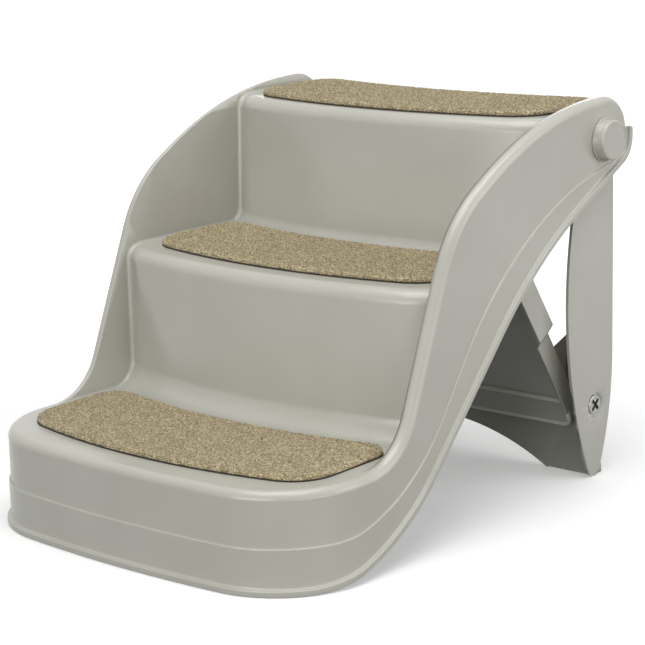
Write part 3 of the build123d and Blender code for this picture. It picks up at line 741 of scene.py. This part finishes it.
def add_camera(settings):
    """The camera at the photograph's place, aimed by its yaw, tilt and roll."""
    yaw, tilt, roll = CAMERA_YAW, CAMERA_TILT, CAMERA_ROLL
    data = bpy.data.cameras.new("photo_camera")
    data.lens = settings.lens
    data.sensor_width = 36
    data.clip_start, data.clip_end = 0.05, 50
    camera = link_new("photo_camera", data)
    ahead = Vector((-sin(yaw) * cos(tilt), cos(yaw) * cos(tilt), sin(tilt)))
    right = Vector((cos(yaw), sin(yaw), 0))
    upward = right.cross(ahead)
    turned_right = cos(roll) * right + sin(roll) * upward
    turned_up = cos(roll) * upward - sin(roll) * right
    turn = Matrix((turned_right, turned_up, -ahead)).transposed().to_4x4()
    camera.matrix_world = Matrix.Translation(CAMERA_PLACE) @ turn
    bpy.context.scene.camera = camera


def seen_directly(tree):
    """One for rays from the camera, in mirrors or through glass, and zero for light that spreads."""
    path = put(tree, "ShaderNodeLightPath")
    mirrored = put(tree, "ShaderNodeMath", {"operation": "MAXIMUM"}, i0=path.outputs["Is Glossy Ray"],
                   i1=path.outputs["Is Transmission Ray"]).outputs[0]
    return put(tree, "ShaderNodeMath", {"operation": "MAXIMUM"}, i0=path.outputs["Is Camera Ray"],
               i1=mirrored).outputs[0]


def set_world(settings):
    """Even light for the object and plain white for the camera."""
    world = bpy.data.worlds.new("studio")
    bpy.context.scene.world = world
    world.use_nodes = True
    tree = world.node_tree
    tree.nodes.clear()
    light = put(tree, "ShaderNodeBackground", Color=(1, 1, 1, 1), Strength=settings.sky)
    white = put(tree, "ShaderNodeBackground", Color=(1, 1, 1, 1), Strength=1.0)
    mix = put(tree, "ShaderNodeMixShader", i0=seen_directly(tree), i1=light.outputs[0], i2=white.outputs[0])
    output = tree.nodes.new("ShaderNodeOutputWorld")
    tree.links.new(mix.outputs[0], output.inputs["Surface"])


def add_floor(settings):
    """A wide white floor that keeps the object's shadow and throws little light back up."""
    half = FLOOR_HALF_SIZE
    corners = [(-half, -half, 0), (half, -half, 0), (half, half, 0), (-half, half, 0)]
    mesh = bpy.data.meshes.new("floor")
    mesh.from_pydata(corners, [], [(0, 1, 2, 3)])
    floor = link_new("floor", mesh)
    floor.location.z = -FLOOR_DROP
    material, tree, shader = new_material("white_floor")
    seen = seen_directly(tree)
    cloud = noise(tree, object_space(tree), FLOOR_CLOUD_SIZE, detail=1.0)
    tone = ramp(tree, cloud, [(0.3, shaded(settings.floor, 0.99)), (0.7, settings.floor)])
    colour = put(tree, "ShaderNodeMix", {"data_type": "RGBA"}, Factor=seen, i6=settings.bounce, i7=tone)
    away = put(tree, "ShaderNodeVectorMath", {"operation": "LENGTH"}, Vector=object_space(tree))
    lift = spread(tree, away.outputs["Value"], LIFT_START, LIFT_FULL, settings.lift, settings.far_lift)
    glow = put(tree, "ShaderNodeMath", {"operation": "MULTIPLY"}, i0=seen, i1=lift)
    fill(tree, shader, Base_Color=colour.outputs[2], Roughness=0.9, Specular_IOR_Level=0.1,
         Emission_Color=(1, 1, 1, 1), Emission_Strength=glow.outputs[0])
    mesh.materials.append(material)


class STAIRS_OT_stage(Operator):
    """Build the floor, the lights, the world and the camera"""

    bl_idname = "stairs.stage"
    bl_label = "Stage"

    def execute(self, context):
        settings = context.scene.stairs_stage
        add_floor(settings)
        set_world(settings)
        for name, (place, size) in LAMPS.items():
            add_area_light(name, place, LAMP_AIM, size, getattr(settings, name))
        add_camera(settings)
        context.scene.view_settings.view_transform = "Standard"
        return {"FINISHED"}


class STAIRS_PT_panel(Panel):
    """The stairs' buttons in the sidebar"""

    bl_label = "Pet Stairs"
    bl_idname = "STAIRS_PT_panel"
    bl_space_type = "VIEW_3D"
    bl_region_type = "UI"
    bl_category = "Pet Stairs"

    def draw(self, context):
        for operator in OPERATORS:
            self.layout.operator(operator.bl_idname)


GROUPS = {
    "stairs_plastic": PlasticSettings,
    "stairs_carpet": CarpetSettings,
    "stairs_metal": MetalSettings,
    "stairs_stage": StageSettings,
}
OPERATORS = (STAIRS_OT_shell, STAIRS_OT_mats, STAIRS_OT_leg, STAIRS_OT_brace, STAIRS_OT_metal,
             STAIRS_OT_rubber, STAIRS_OT_stage)


def register():
    """Registers the settings, the operators and the panel."""
    for name, group in GROUPS.items():
        bpy.utils.register_class(group)
        setattr(bpy.types.Scene, name, PointerProperty(type=group))
    for operator in OPERATORS:
        bpy.utils.register_class(operator)
    bpy.utils.register_class(STAIRS_PT_panel)


def unregister():
    """Takes them away again."""
    bpy.utils.unregister_class(STAIRS_PT_panel)
    for operator in reversed(OPERATORS):
        bpy.utils.unregister_class(operator)
    for name, group in GROUPS.items():
        delattr(bpy.types.Scene, name)
        bpy.utils.unregister_class(group)


def main():
    """Registers everything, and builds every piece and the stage."""
    register()
    for operator in OPERATORS:
        area, name = operator.bl_idname.split(".")
        getattr(getattr(bpy.ops, area), name)()


if __name__ == "__main__":
    main()
